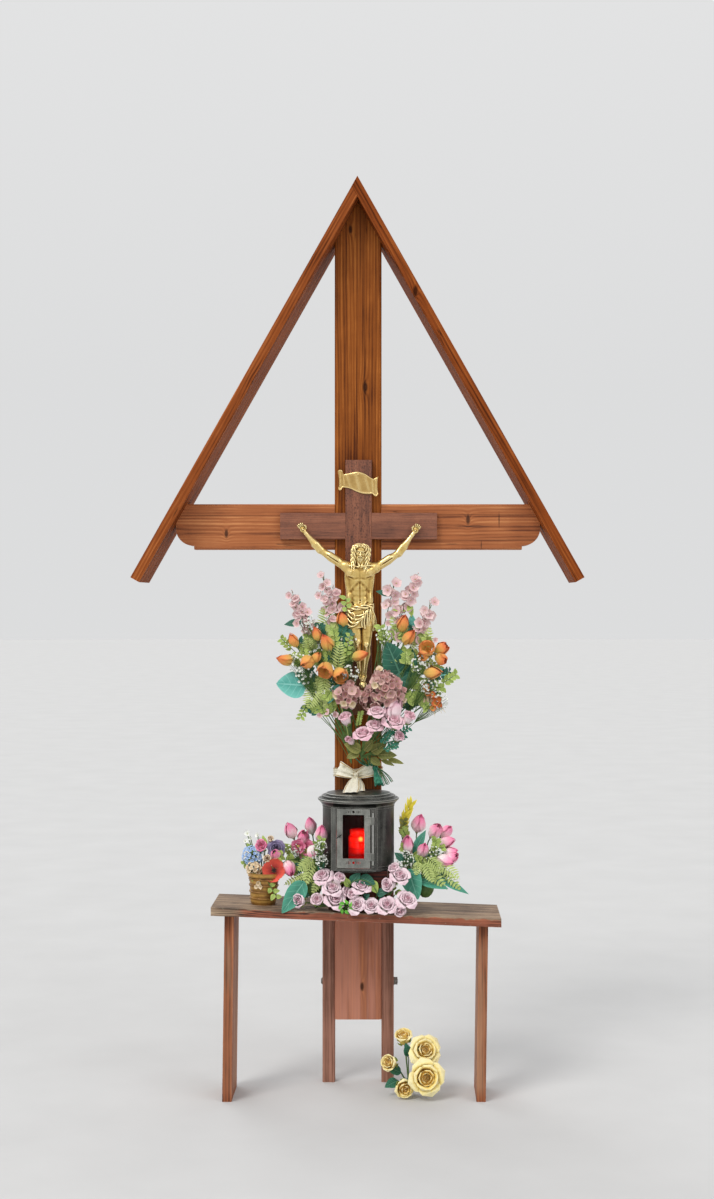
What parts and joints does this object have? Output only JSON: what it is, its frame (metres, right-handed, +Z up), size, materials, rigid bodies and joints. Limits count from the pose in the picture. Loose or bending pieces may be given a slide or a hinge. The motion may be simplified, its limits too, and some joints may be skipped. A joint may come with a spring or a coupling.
{
  "type": "wayside shrine",
  "caption": "Roofed timber wayside cross with a small crucifix, a shelf with a round hinged-door lantern and candle, and artificial flower bouquets.",
  "frame": {"origin": "centre of the right ground stake's foot, at ground level; the cross's middle plane lies 88.5 mm to the left, and y = 0 is the middle of the post's thickness", "axes": "+Z up, the front faces -Y, +X towards the viewer's right"},
  "size_m": [1.3434, 0.3898, 2.703],
  "materials": {
    "red_wood": "red-brown wood stain, weathered",
    "dark_wood": "dark purple-brown stain, weathered",
    "grey_wood": "weathered grey on top, red-brown front",
    "gold_paint": "gold-painted casting, worn",
    "dark_metal": "dark patinated sheet metal, rubbed edges",
    "steel": "dull galvanised",
    "pane": "clear, slightly sooty",
    "red_plastic": "translucent red",
    "wax": "wax",
    "bronze_glaze": "brown and bronze bands",
    "silk_petals": "silk petals, pink and cream",
    "silk_leaves": "silk and plastic leaves",
    "silk_yellow": "yellow silk petals",
    "ribbon": "cream ribbon with gold edge"
  },
  "bodies": {
    "shrine": {"cross_post": "red_wood", "cross_beam": "red_wood", "roof_board_left": "red_wood", "roof_board_right": "red_wood", "ground_stake_left": "red_wood", "ground_stake_right": "red_wood", "stake_bolts": "steel", "crucifix_upright": "dark_wood", "crucifix_arm": "dark_wood", "corpus": "gold_paint", "title_scroll": "gold_paint", "shelf_board": "grey_wood", "shelf_leg_left": "red_wood", "shelf_leg_right": "red_wood", "lantern_block": "red_wood", "lantern_base": "dark_metal", "lantern_wall_left": "dark_metal", "lantern_wall_back": "dark_metal", "lantern_wall_right": "dark_metal", "lantern_portal": "dark_metal", "lantern_lid": "dark_metal", "lantern_hinge_rod": "dark_metal", "candle_jar": "red_plastic", "candle_wax": "wax", "candle_cap": "red_plastic", "flower_pot": "bronze_glaze", "pot_flowers": "silk_petals", "bouquet_left": "silk_leaves", "bouquet_right": "silk_leaves", "bouquet_centre": "silk_petals", "bouquet_stems": "silk_leaves", "ribbon_bow": "ribbon", "shelf_flowers_left": "silk_petals", "shelf_flowers_right": "silk_petals", "shelf_roses": "silk_petals", "ground_roses": "silk_yellow"},
    "lantern_door": {"lantern_door_frame": "dark_metal", "lantern_door_glass": "pane", "lantern_door_knob": "dark_metal"}
  },
  "joints": [
    {"name": "lantern_door_hinge", "type": "hinge", "parent": "shrine", "child": "lantern_door", "pos_m": [-0.03983, -0.27233, 0.764], "axis": [0, 0, 1], "range_deg": [0, 100]}
  ]
}
